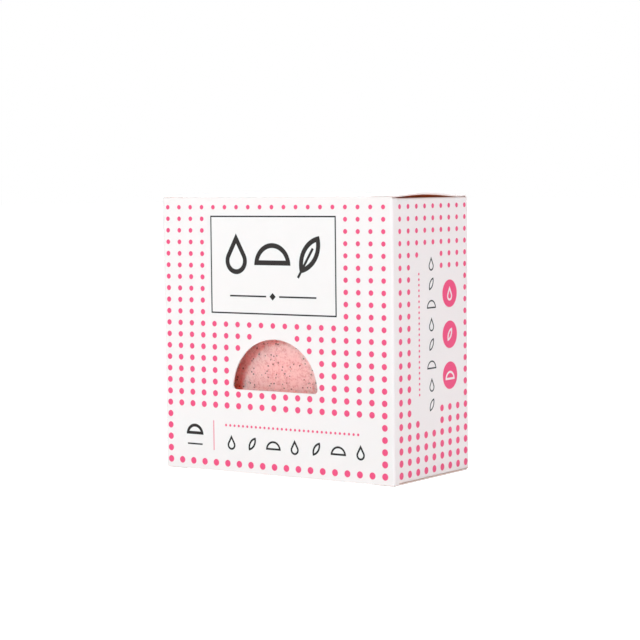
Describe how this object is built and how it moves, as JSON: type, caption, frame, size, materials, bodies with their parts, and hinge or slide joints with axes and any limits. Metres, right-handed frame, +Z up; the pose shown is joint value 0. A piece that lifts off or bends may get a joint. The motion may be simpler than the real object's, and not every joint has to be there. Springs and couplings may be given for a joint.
{
  "type": "boxed konjac sponge",
  "caption": "Dome-shaped konjac face sponge in a windowed folding carton with tuck-in lid, base and dust flaps that fold open.",
  "frame": {"origin": "middle of the carton's base, on the surface it stands on", "axes": "+Z up, +Y to the back, -Y out of the windowed front, +X to the right panel"},
  "size_m": [0.085, 0.0426, 0.0842],
  "materials": {
    "printed_board": "white coated board, semi-matt, printed with pink dots outside, uncoated inside",
    "plain_board": "white coated board, unprinted outside, uncoated inside",
    "glue": "dried carton glue",
    "konjac": "dry porous plant-fibre sponge, pink with fine dark specks"
  },
  "bodies": {
    "sleeve": {"front_panel": "printed_board", "right_panel": "printed_board", "back_panel": "printed_board", "left_panel": "printed_board", "glue_flap": "plain_board", "glue_film": "glue"},
    "sponge": {"sponge": "konjac"},
    "lid": {"lid_panel": "printed_board"},
    "lid_tuck": {"lid_tuck": "plain_board"},
    "lid_flap_right": {"lid_dust_flap_right": "plain_board"},
    "lid_flap_left": {"lid_dust_flap_left": "plain_board"},
    "base": {"base_panel": "plain_board"},
    "base_tuck": {"base_tuck": "plain_board"},
    "base_flap_right": {"base_dust_flap_right": "plain_board"},
    "base_flap_left": {"base_dust_flap_left": "plain_board"}
  },
  "joints": [
    {"name": "lid_open", "type": "hinge", "parent": "sleeve", "child": "lid", "pos_m": [0, 0.02099, 0.08394], "axis": [-1, 0, 0], "range_deg": [0, 180]},
    {"name": "lid_tuck_fold", "type": "hinge", "parent": "lid", "child": "lid_tuck", "pos_m": [0, -0.02024, 0.08388], "axis": [-1, 0, 0], "range_deg": [0, 18]},
    {"name": "lid_flap_right_fold", "type": "hinge", "parent": "sleeve", "child": "lid_flap_right", "pos_m": [0.04224, 0, 0.08329], "axis": [0, 1, 0], "range_deg": [0, 72]},
    {"name": "lid_flap_left_fold", "type": "hinge", "parent": "sleeve", "child": "lid_flap_left", "pos_m": [-0.04224, 0, 0.08329], "axis": [0, -1, 0], "range_deg": [0, 72]},
    {"name": "base_open", "type": "hinge", "parent": "sleeve", "child": "base", "pos_m": [0, 0.02099, 0.00026], "axis": [1, 0, 0], "range_deg": [0, 180]},
    {"name": "base_tuck_fold", "type": "hinge", "parent": "base", "child": "base_tuck", "pos_m": [0, -0.02024, 0.00032], "axis": [1, 0, 0], "range_deg": [0, 18]},
    {"name": "base_flap_right_fold", "type": "hinge", "parent": "sleeve", "child": "base_flap_right", "pos_m": [0.04224, 0, 0.00076], "axis": [0, -1, 0], "range_deg": [0, 72]},
    {"name": "base_flap_left_fold", "type": "hinge", "parent": "sleeve", "child": "base_flap_left", "pos_m": [-0.04224, 0, 0.00076], "axis": [0, 1, 0], "range_deg": [0, 72]},
    {"name": "sponge_lift", "type": "slide", "parent": "sleeve", "child": "sponge", "axis": [0, 0, 1], "range_m": [0, 0.0037]}
  ],
  "couplings": [
    {"joint": "lid_tuck_fold", "follows": "lid_open", "ratio": 0.1},
    {"joint": "lid_flap_right_fold", "follows": "lid_open", "ratio": 0.4},
    {"joint": "lid_flap_left_fold", "follows": "lid_open", "ratio": 0.4},
    {"joint": "base_tuck_fold", "follows": "base_open", "ratio": 0.1},
    {"joint": "base_flap_right_fold", "follows": "base_open", "ratio": 0.4},
    {"joint": "base_flap_left_fold", "follows": "base_open", "ratio": 0.4}
  ]
}
